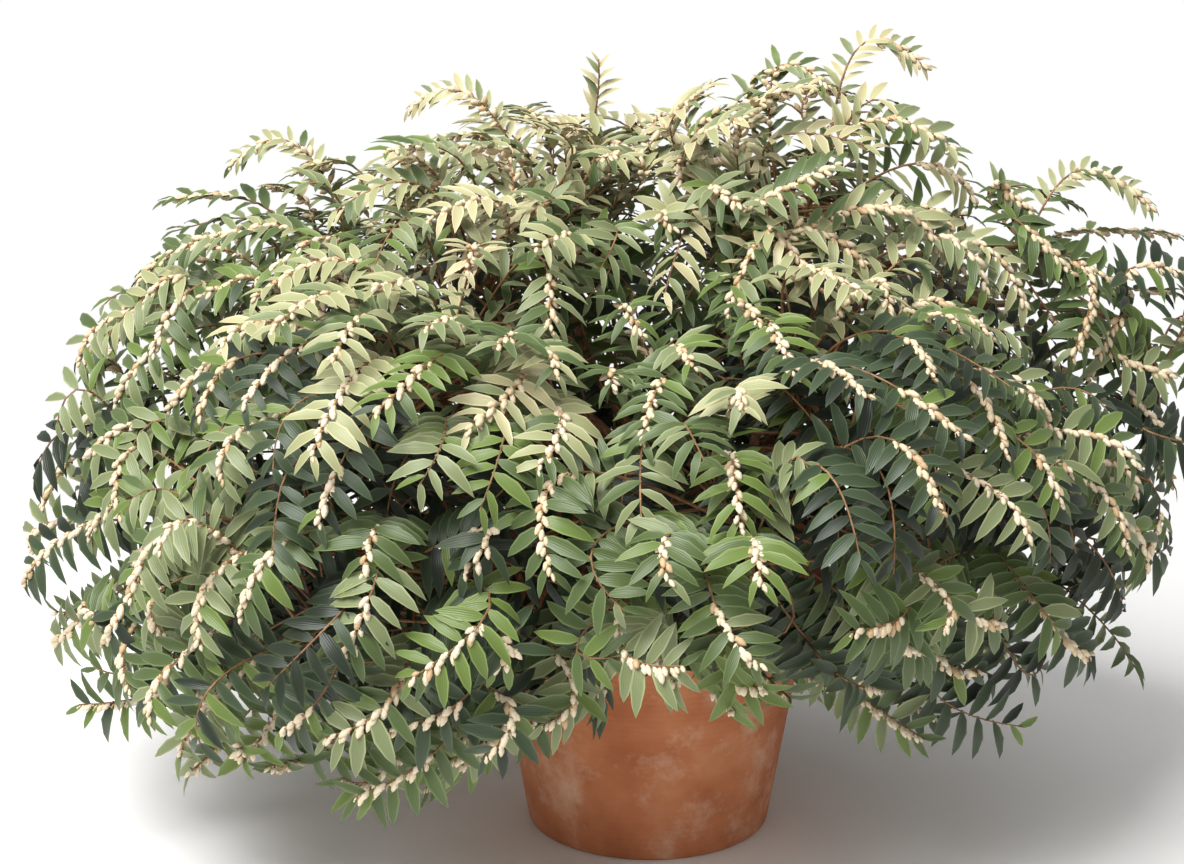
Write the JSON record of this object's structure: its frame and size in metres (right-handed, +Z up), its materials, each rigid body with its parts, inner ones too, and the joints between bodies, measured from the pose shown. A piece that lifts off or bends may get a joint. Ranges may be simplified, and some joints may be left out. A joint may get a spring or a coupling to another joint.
{
  "type": "potted rainbow leucothoe",
  "caption": "Broad, mounded evergreen shrub in bloom, with arching shoots of pointed leaves and chains of small cream bells, growing in a plain round clay pot.",
  "frame": {"origin": "middle of the pot's flat underside", "axes": "+Z up, -Y towards the front that the picture shows, +X to the right of that view"},
  "size_m": [1.4034, 1.1688, 0.912],
  "materials": {
    "clay": "matte",
    "soil": "matte",
    "bark": "matte",
    "foliage": "satin"
  },
  "bodies": {
    "root": {"pot": "clay", "soil": "soil", "stool": "bark", "cane_1": "bark", "cane_2": "bark", "cane_3": "bark", "cane_4": "bark", "cane_5": "bark", "cane_6": "bark", "cane_7": "bark", "leader_1": "bark", "leader_2": "bark", "leader_3": "bark", "bough_1": "bark", "bough_2": "bark", "bough_3": "bark", "bough_4": "bark", "bough_5": "bark", "bough_6": "bark", "arm_bough_1": "bark", "arm_bough_2": "bark", "skirt_1": "foliage", "skirt_2": "foliage", "skirt_3": "foliage", "skirt_4": "foliage", "skirt_5": "foliage", "skirt_6": "foliage", "skirt_7": "foliage", "shoulder_1": "foliage", "shoulder_2": "foliage", "shoulder_3": "foliage", "shoulder_4": "foliage", "shoulder_5": "foliage", "shoulder_6": "foliage", "top_1": "foliage", "top_2": "foliage", "top_3": "foliage", "arm_1": "foliage", "arm_2": "foliage"}
  },
  "joints": []
}
